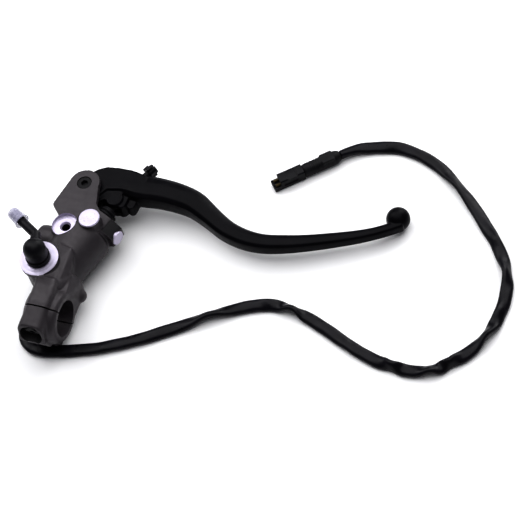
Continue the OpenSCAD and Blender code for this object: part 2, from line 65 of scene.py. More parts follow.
IDENTITY = Matrix.Identity(4)
CLAMP = Matrix.Rotation(TILT, 4, "X")
BARREL = Matrix.Translation(BARREL_AT) @ Matrix.Rotation(-TURN, 4, "Z")
ALONG_Y = Matrix.Rotation(-math.pi / 2, 4, "X")   # local z becomes +y
ALONG_X = Matrix.Rotation(math.pi / 2, 4, "Y")    # local z becomes +x
ON_BARREL = BARREL @ ALONG_Y
PLUG_BOSS = BARREL @ Matrix.Translation((0, 4.4, 0)) @ ALONG_X
OUTLET = Matrix.Translation((0, 51.5, -3.5)) @ ALONG_X
ADJUSTER = BARREL @ Matrix.Translation((0, PIN_V, 0)) @ Matrix.Rotation(-ARM_LEAD, 4, "Z") @ ALONG_Y
AT_PORT = Matrix.Translation(PORT)
AT_SPOT = Matrix.Translation((SPOT.x, SPOT.y, 0))
AT_BADGE = Matrix.Translation((BADGE.x, BADGE.y, 0))
AT_PIVOT = Matrix.Translation(PIVOT)
AT_PLUNGER = Matrix.Translation(PLUNGER)


# ---------------------------------------------------------------- camera and lights

# The photo's view: the point on the table it looks at, in metres, the direction towards the camera
# in degrees, the camera's roll in degrees and its distance in metres
VIEW_AT = Vector((0.1049, 0.0767, -0.0219))
VIEW_AZIMUTH = -57.06
VIEW_ELEVATION = 55.91
VIEW_ROLL = -17.13
VIEW_DISTANCE = 1.1722
VIEW_LENS = 134.8


def camera():
    data = bpy.data.cameras.new("view")
    data.lens = VIEW_LENS
    data.sensor_width = 36
    cam = bpy.data.objects.new("view", data)
    azimuth, elevation = math.radians(VIEW_AZIMUTH), math.radians(VIEW_ELEVATION)
    level = math.cos(elevation)
    back = Vector((level * math.cos(azimuth), level * math.sin(azimuth), math.sin(elevation)))
    turn = back.to_track_quat("Z", "Y").to_matrix().to_4x4()
    turn = turn @ Matrix.Rotation(math.radians(VIEW_ROLL), 4, "Z")
    cam.matrix_world = Matrix.Translation(VIEW_AT + VIEW_DISTANCE * back) @ turn
    SCENE.collection.objects.link(cam)
    SCENE.camera = cam


def area(name, at, look, size, watts, colour=(1, 1, 1)):
    data = bpy.data.lights.new(name, "AREA")
    data.shape = "DISK"
    data.size = size
    data.energy = watts
    data.color = colour
    light = bpy.data.objects.new(name, data)
    light.location = at
    light.rotation_euler = (Vector(look) - Vector(at)).to_track_quat("-Z", "Y").to_euler()
    SCENE.collection.objects.link(light)


camera()


# ---------------------------------------------------------------- materials

def material(name, colour, rough, metal=0.0, tone=0.12, tone_scale=60.0, grain=0.1, grain_scale=1500.0,
             rough_spread=0.08, turned=None, **sockets):
    """Principled surface with mottled colour, uneven roughness and a fine bump.
    turned = (centre, pitch) adds lathe rings about a z axis."""
    mat = bpy.data.materials.new(name)
    mat.use_nodes = True
    tree = mat.node_tree
    nodes, link = tree.nodes, tree.links.new
    bsdf = nodes["Principled BSDF"]
    coord = nodes.new("ShaderNodeTexCoord")
    bsdf.inputs["Metallic"].default_value = metal
    for key, value in sockets.items():
        bsdf.inputs[key.replace("_", " ")].default_value = value

    mottle = nodes.new("ShaderNodeTexNoise")
    mottle.inputs["Scale"].default_value = tone_scale
    mottle.inputs["Detail"].default_value = 5
    link(coord.outputs["Object"], mottle.inputs["Vector"])
    ramp = nodes.new("ShaderNodeValToRGB")
    dark = [c * (1 - tone) for c in colour] + [1]
    light = [min(1.0, c * (1 + tone)) for c in colour] + [1]
    ramp.color_ramp.elements[0].position = 0.3
    ramp.color_ramp.elements[1].position = 0.7
    ramp.color_ramp.elements[0].color = dark
    ramp.color_ramp.elements[1].color = light
    link(mottle.outputs["Fac"], ramp.inputs["Fac"])
    link(ramp.outputs["Color"], bsdf.inputs["Base Color"])

    patch = nodes.new("ShaderNodeTexNoise")
    patch.inputs["Scale"].default_value = tone_scale * 4
    patch.inputs["Detail"].default_value = 3
    link(coord.outputs["Object"], patch.inputs["Vector"])
    spread = nodes.new("ShaderNodeMapRange")
    spread.inputs["From Min"].default_value = 0.3
    spread.inputs["From Max"].default_value = 0.7
    spread.inputs["To Min"].default_value = max(0.03, rough - rough_spread)
    spread.inputs["To Max"].default_value = min(1.0, rough + rough_spread)
    link(patch.outputs["Fac"], spread.inputs["Value"])
    link(spread.outputs["Result"], bsdf.inputs["Roughness"])

    fine = nodes.new("ShaderNodeTexNoise")
    fine.inputs["Scale"].default_value = grain_scale
    fine.inputs["Detail"].default_value = 4
    height = fine.outputs["Fac"]
    link(coord.outputs["Object"], fine.inputs["Vector"])
    if turned:
        centre, pitch = turned
        shift = nodes.new("ShaderNodeMapping")
        shift.inputs["Location"].default_value = [-c * MM for c in centre]
        link(coord.outputs["Object"], shift.inputs["Vector"])
        rings = nodes.new("ShaderNodeTexWave")
        rings.wave_type = "RINGS"
        rings.rings_direction = "Z"
        rings.inputs["Scale"].default_value = 1 / (pitch * MM) / 20
        rings.inputs["Distortion"].default_value = 0.4
        link(shift.outputs["Vector"], rings.inputs["Vector"])
        add = nodes.new("ShaderNodeMath")
        add.operation = "ADD"
        soft = nodes.new("ShaderNodeMath")
        soft.operation = "MULTIPLY"
        soft.inputs[1].default_value = 0.2
        link(fine.outputs["Fac"], soft.inputs[0])
        link(soft.outputs["Value"], add.inputs[0])
        link(rings.outputs["Fac"], add.inputs[1])
        height = add.outputs["Value"]
    bump = nodes.new("ShaderNodeBump")
    bump.inputs["Strength"].default_value = grain
    bump.inputs["Distance"].default_value = 0.0002
    link(height, bump.inputs["Height"])
    link(bump.outputs["Normal"], bsdf.inputs["Normal"])
    return mat


ANODISED = material("anodised_grey", (0.040, 0.035, 0.040), 0.5, 0.3, tone=0.10, tone_scale=90,
                    grain=0.28, grain_scale=2600)
# Painted shade: the anodised colour darkened to a third, laid on grooves, holes, pockets, counterbores and
# the flange's side face where shade falls.
PAINTED_SHADE = material("anodised_painted_shade", (0.012, 0.011, 0.013), 0.6, 0.2, tone=0.15, tone_scale=120, grain=0.2,
                  grain_scale=2200)
LEVER_BLACK = material("lever_black", (0.0045, 0.0042, 0.0060), 0.36, 0.0, tone=0.2, tone_scale=70,
                       grain=0.10, grain_scale=2200, Specular_IOR_Level=0.1)
MACHINED = material("machined_face", (0.50, 0.465, 0.58), 0.38, 0.45, tone=0.04, tone_scale=150,
                    grain=0.12, grain_scale=2500)
PORT_FACE = material("machined_port", (0.50, 0.465, 0.58), 0.38, 0.45, tone=0.04, tone_scale=150,
                     grain=0.2, turned=((-11, 26.3, 0), 0.35))
SPOT_FACE = material("machined_spot", (0.50, 0.465, 0.58), 0.36, 0.45, tone=0.04, tone_scale=150,
                     grain=0.2, turned=((-9.4, 57.8, 0), 0.35))
BADGE_FACE = material("turned_disc", (0.46, 0.43, 0.54), 0.33, 0.5, tone=0.05, tone_scale=200,
                      grain=0.6, turned=((6.5, 62.3, 0), 1.5))
STEEL = material("zinc_steel", (0.50, 0.50, 0.53), 0.34, 0.95, tone=0.08, tone_scale=200, grain=0.15,
                 grain_scale=1800)
BLACK_STEEL = material("black_oxide", (0.007, 0.0065, 0.008), 0.5, 0.0, tone=0.15, tone_scale=180,
                       grain=0.2, grain_scale=1600, Specular_IOR_Level=0.2)
BRONZE = material("bronze", (0.45, 0.28, 0.12), 0.4, 0.9, tone=0.12, tone_scale=160, grain=0.12)
# Brass darkened far below its own colour: painted shade for the terminals deep in the connector's mouth.
BRASS_WITH_PAINTED_SHADE = material("terminal_brass", (0.06, 0.046, 0.024), 0.5, 0.8, tone=0.1, tone_scale=300, grain=0.1)
BLACK_PLASTIC = material("black_plastic", (0.0060, 0.0056, 0.0080), 0.42, 0.0, tone=0.15, tone_scale=120,
                         grain=0.18, grain_scale=1900, Specular_IOR_Level=0.2)
RUBBER = material("black_rubber", (0.0065, 0.0062, 0.0080), 0.58, 0.0, tone=0.2, tone_scale=140,
                  grain=0.3, grain_scale=1200, Specular_IOR_Level=0.25)
SLEEVE = material("vinyl_sleeve", (0.0060, 0.0054, 0.0085), 0.34, 0.0, tone=0.25, tone_scale=90,
                  grain=0.25, grain_scale=700, Specular_IOR_Level=0.2)
MILKY = material("milky_cap", (0.46, 0.45, 0.58), 0.28, 0.0, tone=0.08, tone_scale=160, grain=0.05,
                 grain_scale=900, Transmission_Weight=0.2, IOR=1.3, Alpha=0.55)


# ---------------------------------------------------------------- mesh building

def mesh_object(name, verts, faces, mat=None, smooth=True):
    me = bpy.data.meshes.new(name)
    me.from_pydata([tuple(Vector(v) * MM) for v in verts], [], faces)
    me.validate()
    bm = bmesh.new()
    bm.from_mesh(me)
    bmesh.ops.recalc_face_normals(bm, faces=bm.faces)
    bm.to_mesh(me)
    bm.free()
    if mat:
        me.materials.append(mat)
    me.shade_smooth() if smooth else me.shade_flat()
    obj = bpy.data.objects.new(name, me)
    SCENE.collection.objects.link(obj)
    return obj


class Stack:
    """Closed shells gathered into one vertex and face list."""

    def __init__(self):
        self.verts, self.faces = [], []

    def add(self, verts, faces, frame_=IDENTITY):
        base = len(self.verts)
        self.verts += [frame_ @ Vector(v) for v in verts]
        self.faces += [[base + i for i in f] for f in faces]
        return self

    def lathe(self, profile, frame_=IDENTITY, steps=72):
        """profile: (radius, height) pairs. It closes on the axis at both ends, or on itself if it never
        meets the axis."""
        ring = [(math.cos(2 * math.pi * i / steps), math.sin(2 * math.pi * i / steps)) for i in range(steps)]
        loop = profile[0][0] > 0
        verts, starts = [], []
        for r, h in profile:
            starts.append(len(verts))
            verts += [(0, 0, h)] if r == 0 else [(r * c, r * s, h) for c, s in ring]
        faces = []
        pairs = list(zip(range(len(profile)), range(1, len(profile))))
        if loop:
            pairs.append((len(profile) - 1, 0))
        for a, b in pairs:
            ra, rb = profile[a][0], profile[b][0]
            for i in range(steps):
                j = (i + 1) % steps
                if ra == 0 and rb == 0:
                    continue
                if ra == 0:
                    faces.append([starts[a], starts[b] + i, starts[b] + j])
                elif rb == 0:
                    faces.append([starts[a] + j, starts[a] + i, starts[b]])
                else:
                    faces.append([starts[a] + i, starts[a] + j, starts[b] + j, starts[b] + i])
        return self.add(verts, faces, frame_)

    def prism(self, outline, z0, z1, frame_=IDENTITY):
        n = len(outline)
        verts = [(x, y, z0) for x, y in outline] + [(x, y, z1) for x, y in outline]
        faces = [list(range(n))[::-1], list(range(n, 2 * n))]
        faces += [[i, (i + 1) % n, n + (i + 1) % n, n + i] for i in range(n)]
        return self.add(verts, faces, frame_)

    def loft(self, rings, frame_=IDENTITY):
        n, m = len(rings[0]), len(rings)
        verts = [p for r in rings for p in r]
        faces = [list(range(n))[::-1], [(m - 1) * n + i for i in range(n)]]
        faces += [[k * n + i, k * n + (i + 1) % n, (k + 1) * n + (i + 1) % n, (k + 1) * n + i]
                  for k in range(m - 1) for i in range(n)]
        return self.add(verts, faces, frame_)

    def hull(self, points, frame_=IDENTITY):
        bm = bmesh.new()
        for p in points:
            bm.verts.new(p)
        bmesh.ops.convex_hull(bm, input=bm.verts)
        loose = [v for v in bm.verts if not v.link_faces]
        bmesh.ops.delete(bm, geom=loose, context="VERTS")
        bm.verts.index_update()
        verts = [v.co.copy() for v in bm.verts]
        faces = [[v.index for v in f.verts] for f in bm.faces]
        bm.free()
        return self.add(verts, faces, frame_)

    def ball(self, at, r, frame_=IDENTITY, rings=20):
        arc = [(r * math.sin(math.pi * k / rings), -r * math.cos(math.pi * k / rings))
               for k in range(1, rings)]
        arc = [(0, -r)] + arc + [(0, r)]
        return self.lathe(arc, frame_ @ Matrix.Translation(Vector(at)), 40)

    def object(self, name, mat=None, smooth=True):
        return mesh_object(name, self.verts, self.faces, mat, smooth)


def disc_points(x, y, r, z0, z1, n=24):
    return [(x + r * math.cos(2 * math.pi * i / n), y + r * math.sin(2 * math.pi * i / n), z)
            for i in range(n) for z in (z0, z1)]


def arc_points(centre, r, degrees):
    return [(centre.x + r * math.cos(math.radians(a)), centre.y + r * math.sin(math.radians(a)))
            for a in degrees]


def apply_all(obj):
    graph = bpy.context.evaluated_depsgraph_get()
    me = bpy.data.meshes.new_from_object(obj.evaluated_get(graph))
    obj.modifiers.clear()
    obj.data = me
    return obj


def fuse(obj, voxel, mat):
    """One skin over all the shells of obj."""
    mod = obj.modifiers.new("fuse", "REMESH")
    mod.mode = "VOXEL"
    mod.voxel_size = voxel * MM
    mod.use_smooth_shade = True
    apply_all(obj)
    obj.data.materials.clear()
    obj.data.materials.append(mat)
    return obj


def soften(obj, steps, keep=None):
    """Even out the skin; keep(co in mm) gives each vertex's share of the movement, from 0 to 1."""
    me = obj.data
    n = len(me.vertices)
    co = np.empty(n * 3, np.float64)
    me.vertices.foreach_get("co", co)
    co = co.reshape(-1, 3)
    edges = np.empty(len(me.edges) * 2, np.int64)
    me.edges.foreach_get("vertices", edges)
    a, b = edges.reshape(-1, 2).T
    count = np.bincount(a, minlength=n) + np.bincount(b, minlength=n)
    share = np.full(n, 0.5) if keep is None else 0.5 * keep(co / MM)
    for _ in range(steps):
        total = np.stack([np.bincount(a, co[b, k], n) + np.bincount(b, co[a, k], n) for k in range(3)], 1)
        co += share[:, None] * (total / count[:, None] - co)
    me.vertices.foreach_set("co", co.ravel())
    me.update()
    return obj


def cut(obj, cutters):
    """Crisp machining: each cutter brings its own material to the faces that it leaves, so cutters made with
    the painted-shade material paint shade into what they cut.
    """
    for c in cutters:
        before = len(obj.data.vertices), len(obj.data.polygons)
        for solver in ("MANIFOLD", "EXACT"):
            mod = obj.modifiers.new("cut", "BOOLEAN")
            mod.operation = "DIFFERENCE"
            mod.object = c
            mod.solver = solver
            mod.material_mode = "TRANSFER"
            apply_all(obj)
            if (len(obj.data.vertices), len(obj.data.polygons)) != before:
                break
        bpy.data.objects.remove(c)
    return obj


def crisp(obj, degrees=32):
    obj.data.shade_smooth()
    obj.data.set_sharp_from_angle(angle=math.radians(degrees))
    return obj


def place(obj, body, slot, *nodes):
    if nodes:
        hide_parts(*nodes)
    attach(obj, body)
    return obj


def rod(r, z0, z1, frame_, mat, steps=96):
    return Stack().lathe([(0, z0), (r, z0), (r, z1), (0, z1)], frame_, steps).object("cutter", mat)


def slab(x, y, z, frame_, mat):
    outline = [(x[0], y[0]), (x[1], y[0]), (x[1], y[1]), (x[0], y[1])]
    return Stack().prism(outline, z[0], z[1], frame_).object("cutter", mat, False)


# ---------------------------------------------------------------- the switch lead

LEAD = [(-15, 62, 0.5), (-15.4, 54, 0.1), (-16, 42, 0), (-17, 28, 0), (-18.6, 14, 0), (-19.5, 3, 0),
        (-17.8, -6, 0), (-12.6, -12.2, 0), (-5, -14.4, 0), (8, -12.2, 0), (26, -6.4, 0), (42, 1, 0),
        (58, 10, 0), (73.5, 20.5, 0), (89, 31.5, 0), (105, 40.5, 0), (116, 45, 0), (128, 47, 0),
        (141, 45, 0), (155, 40, 0), (170, 33.5, 0), (183.5, 28, 0), (197, 24, 0), (209, 22.5, 0),
        (221, 24, 0), (232, 29, 0), (242, 39, 0), (250, 52, 0), (254.5, 66, 0), (255.5, 80, 0),
        (253, 96, 0), (245, 111, 0), (233, 126, 0), (217, 143.5, 0), (199, 159, 0), (184, 167.5, 0),
        (168, 171.5, 0), (152, 169.5, 0.2), (140, 165, 0.8), (131, 158, 1.5)]
LEAD_R = 2.8
# Where the flat sleeve rolls towards its edge: route position, roll in degrees, reach in route steps
CREASES = [(13.9, 60, 0.5), (16.4, -25, 0.5), (17.7, 66, 0.5), (22.6, -62, 0.5), (24.4, 45, 0.4),
           (25.4, -62, 0.4), (27.1, 66, 0.45), (28.3, -30, 0.4), (30.2, -66, 0.5), (31.5, 45, 0.4),
           (33.5, -60, 0.5), (36.2, 25, 0.6)]


def smooth_path(points, per_span):
    pts = [Vector(p) for p in points]
    out = []
    last = len(pts) - 1
    for i in range(last):
        a, b, c, d = pts[max(i - 1, 0)], pts[i], pts[i + 1], pts[min(i + 2, last)]
        for k in range(per_span):
            t = k / per_span
            out.append(0.5 * (2 * b + (c - a) * t + (2 * a - 5 * b + 4 * c - d) * t * t
                              + (3 * b - a - 3 * c + d) * t ** 3))
    out.append(pts[-1])
    return out


def lead():
    route = [(x, y, TABLE + LEAD_R + up) for x, y, up in LEAD]
    per = 10
    path = smooth_path(route, per)
    steps = 20
    rings = []
    width, thick = 3.9, 2.2
    for i, p in enumerate(path):
        a, b = path[max(i - 1, 0)], path[min(i + 1, len(path) - 1)]
        ahead = (b - a).normalized()
        side = ahead.cross(Vector((0, 0, 1))).normalized()
        up = side.cross(ahead)
        s = i / per
        roll = sum(deg * math.exp(-((s - at) / wide) ** 2) for at, deg, wide in CREASES)
        angle = math.radians(roll) + 0.14 * math.sin(s * 1.9) + 0.07 * math.sin(s * 4.3 + 2)
        near = min(1.0, max(0.0, (s - 0.5) / 1.5))
        end = min(1.0, max(0.0, (len(LEAD) - 1.3 - s) / 1.2))
        flat = near * end
        crease = 0.05 * math.sin(s * 5.1) + 0.03 * math.sin(s * 11.7 + 1)
        w = 2.75 + (width - 2.75) * flat
        t = 2.75 + (thick - 2.75) * flat * (1 + crease)
        centre = p.copy()
        drop = math.sqrt((t * math.cos(angle)) ** 2 + (w * math.sin(angle)) ** 2)
        centre.z = p.z - (LEAD_R - max(1.05 * drop, 1.9)) * flat
        ring = []
        for k in range(steps):
            th = 2 * math.pi * k / steps
            c, sn = math.cos(th), math.sin(th)
            x = w * math.copysign(abs(c) ** 0.8, c)
            y = t * math.copysign(abs(sn) ** 0.9, sn)
            wave = 1 + 0.018 * math.sin(3 * th + s * 7.0)
            x, y = x * wave, y * wave
            across = x * math.cos(angle) - y * math.sin(angle)
            above = x * math.sin(angle) + y * math.cos(angle)
            off = side * across + up * above
            ring.append(centre + off)
        rings.append(ring)
    obj = Stack().loft(rings).object("lead_sleeve", SLEEVE)
    smooth = obj.modifiers.new("round", "SUBSURF")
    smooth.levels = smooth.render_levels = 1
    apply_all(obj)
    centres = [sum(r, Vector()) / len(r) for r in rings]
    return obj, centres


sleeve, centres = lead()
place(sleeve, "perch", "sleeve", "switch_cable")

PLUG = (Matrix.Translation((131, 158, TABLE + 4.3)) @ Matrix.Rotation(math.radians(221), 4, "Z") @ ALONG_X)


def connector():
    s = Stack()
    s.lathe([(0, 0), (2.9, 0), (3.4, 1.0), (4.1, 2.4), (4.3, 4.2), (4.3, 21.5), (4.25, 23.5), (3.7, 25),
             (0, 25)], PLUG)
    s.prism([(-4.2, -3.6), (0.5, -4.1), (4.1, -2.5), (4.1, 2.5), (0.5, 4.1), (-4.2, 3.6)], 4.5, 12.5, PLUG)
    boot = fuse(s.object("plug_boot"), 0.28, RUBBER)
    soften(boot, 9)
    ribs = [Stack().lathe([(4.05, z), (6, z), (6, z + 0.8), (4.05, z + 0.8)], PLUG).object("cutter", RUBBER)
            for z in (15.2, 17.4, 19.6)]
    cut(boot, ribs)
    crisp(boot, 40)

    h = Stack()
    h.prism([(-3.8, -3.2), (-3.2, -3.8), (3.2, -3.8), (3.8, -3.2), (3.8, 3.2), (3.2, 3.8), (-3.2, 3.8),
             (-3.8, 3.2)],
            25.05, 45.5, PLUG)
    housing = h.object("plug_housing", BLACK_PLASTIC, False)
    step = slab((-4.8, 0.6), (-4.8, 20), (41, 60), PLUG, BLACK_PLASTIC)
    waist = slab((-5, -3.1), (-5, 5), (29.5, 36), PLUG, BLACK_PLASTIC)
    latch = slab((-1.3, 1.3), (3.3, 6), (30, 39), PLUG, BLACK_PLASTIC)
    holes = [rod(1.25, 28, 60, PLUG @ Matrix.Translation((0, side * 1.8, 0)), BLACK_PLASTIC, 32)
             for side in (-1, 1)]
    cut(housing, [step, waist, latch] + holes)
    bevel = housing.modifiers.new("edges", "BEVEL")
    bevel.width = 0.28 * MM
    bevel.segments = 3
    bevel.limit_method = "ANGLE"
    bevel.angle_limit = math.radians(35)
    apply_all(housing)
    crisp(housing, 38)
    place(boot, "perch", "black_rubber", "connector_boot")
    place(housing, "perch", "black_plastic", "connector_housing")
    return boot, housing


plug_boot, plug_housing = connector()


# ---------------------------------------------------------------- forged body

def clamp_ring(stack):
    stack.lathe([(0, -9.6), (13.4, -9.6), (15.6, -8.2), (16.2, -6.2), (16.2, 8.4), (15.6, 10.6),
                 (14.0, 12), (0, 12)],
                CLAMP @ ALONG_X, 96)


def nose_rings(stations, corner=4.2):
    """Rounded sections across the clamp's nose: (y at the top, y at the bottom, left, right, top, bottom)."""
    rings = []
    for y_top, y_low, left, right, top, low in stations:
        ring = []
        spots = [(right, low), (right, top), (left, top), (left, low)]
        for n, (x, z) in enumerate(spots):
            if n in (0, 3):
                ring += [(x, None, z)]
                continue
            sx = 1 if n == 1 else -1
            cx, cz = x - sx * corner, z - corner
            arc = range(0, 91, 15) if n == 1 else range(90, -1, -15)
            ring += [(cx + sx * corner * math.cos(math.radians(a)), None,
                      cz + corner * math.sin(math.radians(a))) for a in arc]
        rings.append([(x, y_low + (y_top - y_low) * (z - low) / (top - low), z) for x, _, z in ring])
    return rings


def forged_body():
    s = Stack()
    clamp_ring(s)
    s.loft(nose_rings([(-3, -3, -7.8, 7.8, 19.2, 4), (3, 3, -7.4, 7.8, 19.1, 4),
                       (8, 8, -7.2, 7.6, 18.3, 4), (14, 13, -7.8, 6.6, 16.2, 4),
                       (20, 18, -9, 5, 13.0, 4)], 3.8), CLAMP)
    s.prism([(-3, -18.8), (6.5, -18.8), (12, -12), (12, -4), (-3, -4)], -6, 7, CLAMP @ Matrix((
        (0, 0, 1, 0), (1, 0, 0, 0), (0, 1, 0, 0), (0, 0, 0, 1))))
    # neck: left facet, middle facet and the hollow beside the clamp's collar
    s.hull([(-9.4, 10, 14.2), (-3.5, 10, 18.2), (4, 11, 17.0), (7, 12, 13.0), (-9.4, 10, -12),
            (7, 12, -13), (-19, 25, 7), (-8, 19, 15.6), (3.5, 20, 14.4), (9.5, 24, 8.5), (10.5, 25, -9),
            (-18, 24, -12), (-15, 36, 8), (-2, 40, 12), (-12, 36, -12)])
    s.hull([(7, 8, 12), (11.6, 6.5, 11.5), (11.6, 6, -12), (6, 8, -14), (9.5, 20, 9.5), (12.3, 18.5, 4),
            (13.2, 20.5, -8), (8, 27, 8), (12, 27, 0), (12, 26, -11), (4, 26, -14)])
    s.ball((11.2, 20.6, -7.5), 4.4)
    s.hull([(3.4, 40.6, 13.0), (-6, 42.0, 12.4), (5.2, 38.6, 11.4), (8.6, 20, 9.8), (5.0, 18.5, 14.2),
            (-4, 20, 15.6), (3.4, 40.6, -6), (-6, 44, -6), (8.6, 22, -6), (-6, 20, -6)])
    # port boss, flared towards its rim
    s.lathe([(0, -12), (8.5, -12), (10.4, -4), (10.4, 7), (11.0, 12.5), (11.9, 15.2), (11.9, 20), (0, 20)],
            AT_PORT, 96)
    # barrel with its tail
    s.lathe([(0, -46), (7.5, -46), (11.5, -44), (13.9, -40), (14.7, -36), (15.6, -4.4), (15.2, -3.4),
             (13.6, -2.2), (13.6, 2), (0, 2)],
            ON_BARREL, 120)
    # flange and its side boss
    xz = BARREL @ Matrix(((1, 0, 0, 0), (0, 0, 1, 0), (0, 1, 0, 0), (0, 0, 0, 1)))
    s.prism([(-14, 11.4), (2, 12.0), (9, 9.2), (15.2, 5.2), (16.9, 3.6), (16.9, -3.6), (15.2, -5.2),
             (9, -9.2), (2, -12), (-14, -11.4)], -0.5, 10.0, xz)
    s.lathe([(0, 8), (4.9, 8), (4.9, 17.2), (0, 17.2)], PLUG_BOSS, 48)
    # ears
    arc = arc_points(PIVOT, 9.6, range(-2, 171, 7))
    ear = arc + [(-22.4, 71.2), (-21.9, 69.6), (-14.5, 62.5), (-6, 56), (4, 58), (7.9, 72.6),
                 (4.6, 76.1), (3.1, 81.6)]
    s.prism(ear, 3.9, 8.5)
    s.prism(ear, -15.5, -10.9)
    web = [(-21.6, 70), (-14.5, 62.5), (-6, 56), (4, 58), (7.6, 72.4), (-3.2, 75.6), (-12.5, 78.4)]
    s.prism(web, -15.5, 8.5)
    # small bosses
    s.lathe([(0, -12), (8.7, -12), (8.7, 4), (8.2, 8.5), (0, 8.5)], AT_SPOT, 64)
    s.hull(disc_points(-9.0, 50.2, 2.2, -2, 8, 16) + disc_points(-9.2, 56, 4.5, -2, 8, 16))
    s.lathe([(0, 0), (6.9, 0), (6.5, 9), (6.5, 14.4), (0, 14.4)], AT_BADGE, 64)
    s.lathe([(0, -26.8), (7.2, -26.8), (8.6, -25.6), (9.0, -23.5), (9.2, -12), (10.5, -1), (0, -1)],
            OUTLET, 72)
    s.hull([(-22, 44, 2), (-22, 44, -10), (-17, 40.5, 4), (-17, 40.5, -10), (-4, 40, 8), (-4, 40, -10),
            (-4, 58, 6), (-4, 58, -10), (-20, 57, 1), (-20, 57, -10)])
    body = fuse(s.object("perch_body"), 0.5, ANODISED)

    def keep(p):
        v = (p[:, 0] - BARREL_AT.x) * math.sin(TURN) + (p[:, 1] - BARREL_AT.y) * math.cos(TURN)
        hard = (v > -5.5) | ((p[:, 2] > 9) & (p[:, 1] > 49))
        ring = (p[:, 1] < 14) & (p[:, 0] > 8)
        return np.where(hard, 0.14, np.where(ring, 0.14, np.where(p[:, 1] < 42, 0.3, 0.6)))

    soften(body, 26, keep)
    # Painted shade: a shallow groove behind the flange and a thin cut over the flange's side face, both left
    # in the painted-shade material.
    sweep = [math.radians(-42 + 6 * i) for i in range(20)]
    groove = ([(13.8 * math.cos(a), 13.8 * math.sin(a)) for a in sweep]
              + [(19 * math.cos(a), 19 * math.sin(a)) for a in sweep[::-1]])
    facet = [(9.9, 8.3), (15.0, 4.9), (16.4, 3.4), (22, 3.4), (22, 14), (9.9, 14)]
    cutters = [
        Stack().prism(groove, -3.2, -0.8, ON_BARREL).object("cutter", PAINTED_SHADE, False),
        Stack().prism(facet, 0.2, 9.5, xz).object("cutter", PAINTED_SHADE, False),
        slab((-60, 60), (-60, 0.4), (-60, 60), CLAMP, ANODISED),
        rod(BAR_R, -30, 30, CLAMP @ ALONG_X, ANODISED, 128),
        rod(12.3, 18, 30, AT_PORT, PORT_FACE),
        rod(5.0, 9, 40, AT_PORT, ANODISED, 64),
        rod(8.0, 6, 20, AT_SPOT, SPOT_FACE),
        # The spot face's bolt hole is lined with painted shade.
        rod(2.5, -6, 20, AT_SPOT, PAINTED_SHADE, 48),
        Stack().lathe([(0, 4.4), (2.4, 4.4), (3.7, 6.3), (3.7, 9), (0, 9)],
                      AT_SPOT).object("cutter", SPOT_FACE),
        rod(8.2, 13.2, 30, AT_BADGE, MACHINED),
        rod(9.5, -37, 20, ON_BARREL, ANODISED, 96),
        slab((-13.3, 60), (10.2, 60), (-7.3, 7.3), BARREL, ANODISED),
        rod(10.2, -10.8, 3.8, AT_PIVOT, ANODISED, 96),
        slab((-30, 30), (0, 40), (-10.8, 3.8), AT_PIVOT, ANODISED),
        rod(4.6, 5.1, 20, AT_PIVOT, ANODISED, 64),
        rod(2.55, -30, 20, AT_PIVOT, ANODISED, 40),
        rod(4.5, -40, -13, OUTLET, ANODISED, 48),
        rod(4.25, 13, 30, PLUG_BOSS, ANODISED, 48),
        rod(1.15, -30, -9, AT_PLUNGER, ANODISED, 24),
    ]
    for z in (14, -14):
        cutters.append(rod(2.55, -1, 8, CLAMP @ Matrix.Translation((0.5, 0, z)) @ ALONG_Y, ANODISED, 40))
    cut(body, cutters)
    crisp(body, 38)
    place(body, "perch", "anodised", "master_cylinder_body")


def clamp_cap():
    s = Stack()
    clamp_ring(s)
    s.loft(nose_rings([(4, 4, -7.4, 7.8, 19.2, 3), (-4, -4, -8.0, 7.8, 19.2, 3),
                       (-9, -12, -8.6, 7.8, 19.2, 3),
                       (-13, -19.6, -9.0, 7.8, 19.2, 6.5)], 5.2), CLAMP)
    s.hull([(x, y, z) for x in (-8.6, 7.4) for y, z in ((-18.3, 9.6), (-17.9, -3.5), (-13, -6), (-12, 12))],
           CLAMP)
    s.prism([(3, -19.2), (-13, -19.2), (-15, -13), (-12, -4), (3, -4)], -6, 7, CLAMP @ Matrix((
        (0, 0, 1, 0), (1, 0, 0, 0), (0, 1, 0, 0), (0, 0, 0, 1))))
    cap = fuse(s.object("perch_cap"), 0.4, ANODISED)
    soften(cap, 14)
    # Painted shade: the pocket and the screw counterbores are lined with the painted-shade material.
    pocket = [(side * 1.0 + 6.0 * math.cos(math.radians(a)), 5.9 * math.sin(math.radians(a)))
              for side, first in ((1, -90), (-1, 90)) for a in range(first, first + 181, 9)]
    cutters = [
        slab((-60, 60), (-0.4, 60), (-60, 60), CLAMP, ANODISED),
        rod(BAR_R, -30, 30, CLAMP @ ALONG_X, ANODISED, 128),
        Stack().prism(pocket, -40, -12.4,
                      CLAMP @ Matrix.Translation((-0.6, 0, 12.0)) @ ALONG_Y).object("cutter", PAINTED_SHADE),
    ]
    for z in (14, -14):
        turned = CLAMP @ Matrix.Translation((0.5, 0, z)) @ ALONG_Y
        cutters.append(rod(4.6, -40, -9.6, turned, PAINTED_SHADE, 64))
        cutters.append(rod(2.7, -30, 20, turned, ANODISED, 40))
    cut(cap, cutters)
    crisp(cap, 38)
    place(cap, "perch", "anodised", "bar_clamp_cap")


forged_body()
clamp_cap()


# ---------------------------------------------------------------- lever

